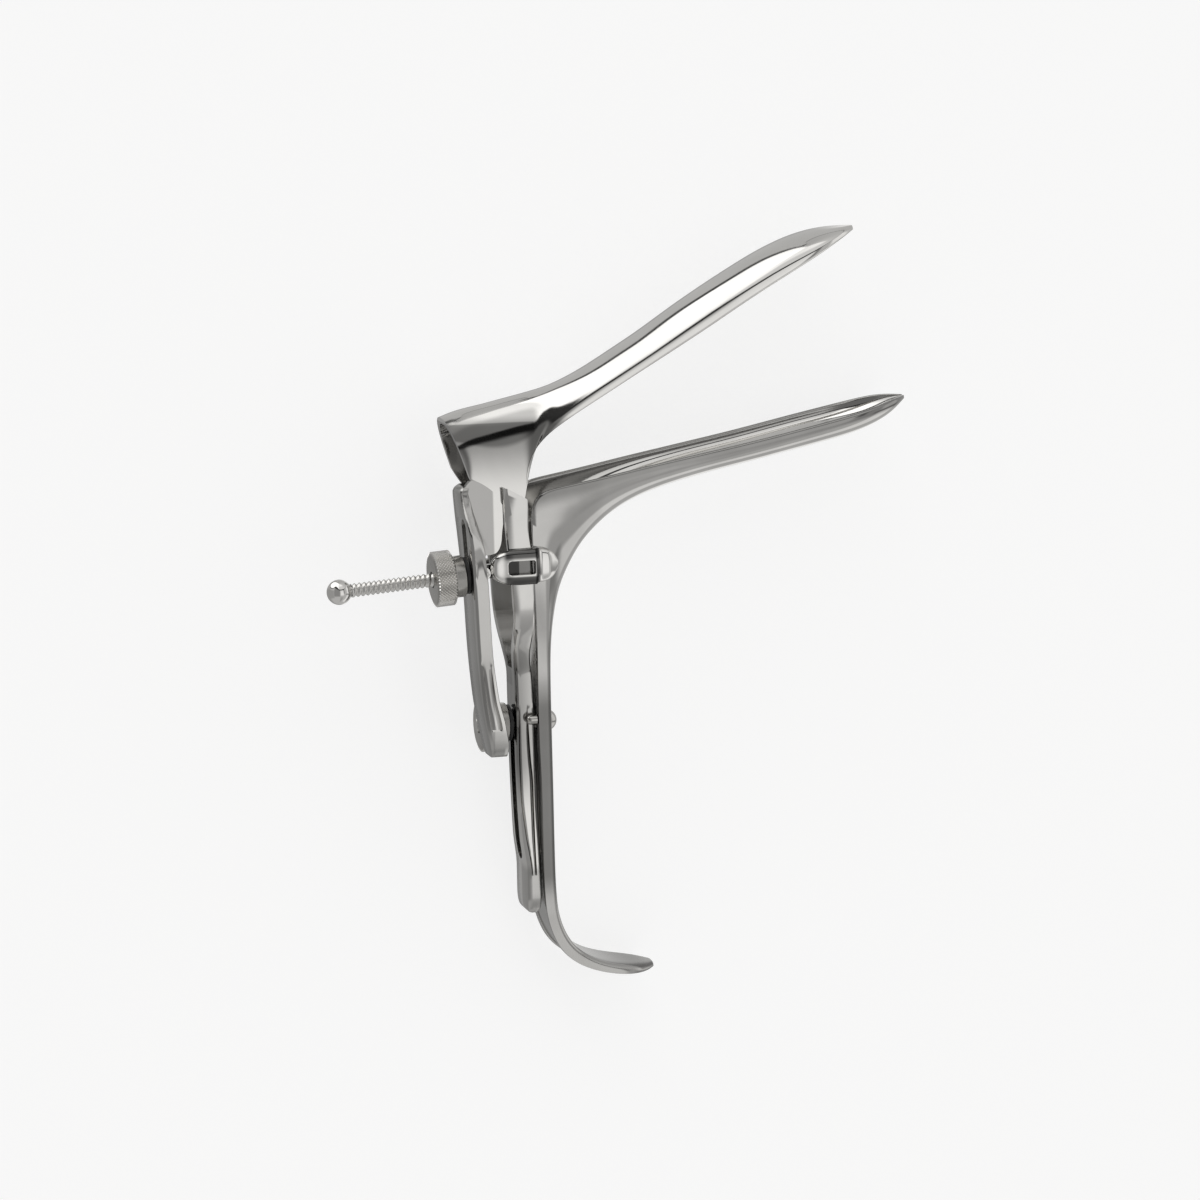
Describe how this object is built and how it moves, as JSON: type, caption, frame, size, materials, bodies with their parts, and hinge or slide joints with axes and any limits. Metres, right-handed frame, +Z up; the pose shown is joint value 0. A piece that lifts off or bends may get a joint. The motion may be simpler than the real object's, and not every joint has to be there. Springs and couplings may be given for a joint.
{
  "type": "vaginal speculum",
  "caption": "Narrow bivalve speculum of polished steel, with a side screw and knurled nut that set the blade angle, and a sliding slotted handle.",
  "frame": {"origin": "centre of the object's footprint, on the surface that it lies on", "axes": "+X along the blades towards their tips, +Y up the handles towards the upper blade, +Z up, towards the side with the thumb lever"},
  "size_m": [0.1672, 0.2044, 0.0403],
  "materials": {
    "polished_steel": "mirror polished stainless steel",
    "satin_steel": "satin stainless steel",
    "knurled_steel": "diamond-knurled stainless steel",
    "dark_washer": "black, matt"
  },
  "bodies": {
    "lower": {"lower_blade": "polished_steel", "keeper_near": "polished_steel", "keeper_far": "polished_steel", "guide_stud_near": "polished_steel", "guide_stud_far": "polished_steel", "handle_screw": "polished_steel"},
    "frame": {"frame": "satin_steel", "hinge_pin_near": "satin_steel", "hinge_pin_far": "satin_steel", "rod_pivot_pin": "satin_steel"},
    "upper": {"upper_blade": "polished_steel", "thumb_lever": "polished_steel"},
    "rod": {"threaded_rod": "satin_steel", "rod_ball": "polished_steel"},
    "nut_carrier": {"nut_washer": "dark_washer"},
    "thumb_nut": {"thumb_nut": "knurled_steel"},
    "clamp_carrier": {"clamp_washer": "dark_washer"},
    "clamp_nut": {"clamp_nut": "knurled_steel"}
  },
  "joints": [
    {"name": "frame_slide", "type": "slide", "parent": "lower", "child": "frame", "axis": [0.0012, 0.9991, 0.0415], "range_m": [0, 0.028]},
    {"name": "upper_blade_hinge", "type": "hinge", "parent": "frame", "child": "upper", "pos_m": [-0.03156, 0.03234, 0.017], "axis": [0.0582, -0.0415, 0.9974], "range_deg": [-23, 0]},
    {"name": "rod_swing", "type": "hinge", "parent": "frame", "child": "rod", "pos_m": [-0.04063, 0.01371, 0.032], "axis": [0.0582, -0.0415, 0.9974], "range_deg": [-24, 1]},
    {"name": "nut_travel", "type": "slide", "parent": "rod", "child": "nut_carrier", "axis": [-0.9963, -0.0657, 0.0554], "range_m": [0, 0.00803]},
    {"name": "nut_spin", "type": "hinge", "parent": "nut_carrier", "child": "thumb_nut", "pos_m": [-0.04063, 0.01371, 0.032], "axis": [-0.9963, -0.0657, 0.0554], "range_deg": [0, 2085]},
    {"name": "clamp_spin", "type": "hinge", "parent": "clamp_carrier", "child": "clamp_nut", "pos_m": [-0.03064, -0.03021, 0.01435], "axis": [-0.9983, -0.0012, 0.0582], "range_deg": [0, 372]},
    {"name": "clamp_travel", "type": "slide", "parent": "lower", "child": "clamp_carrier", "axis": [-0.9983, -0.0012, 0.0582], "range_m": [0, 0.00136]}
  ],
  "couplings": [
    {"joint": "rod_swing", "follows": "upper_blade_hinge", "ratio": 1},
    {"joint": "nut_travel", "follows": "upper_blade_hinge", "m_per_rad": -0.01925},
    {"joint": "nut_spin", "follows": "upper_blade_hinge", "ratio": -88.93},
    {"joint": "clamp_spin", "follows": "clamp_travel", "rad_per_m": 4620}
  ]
}
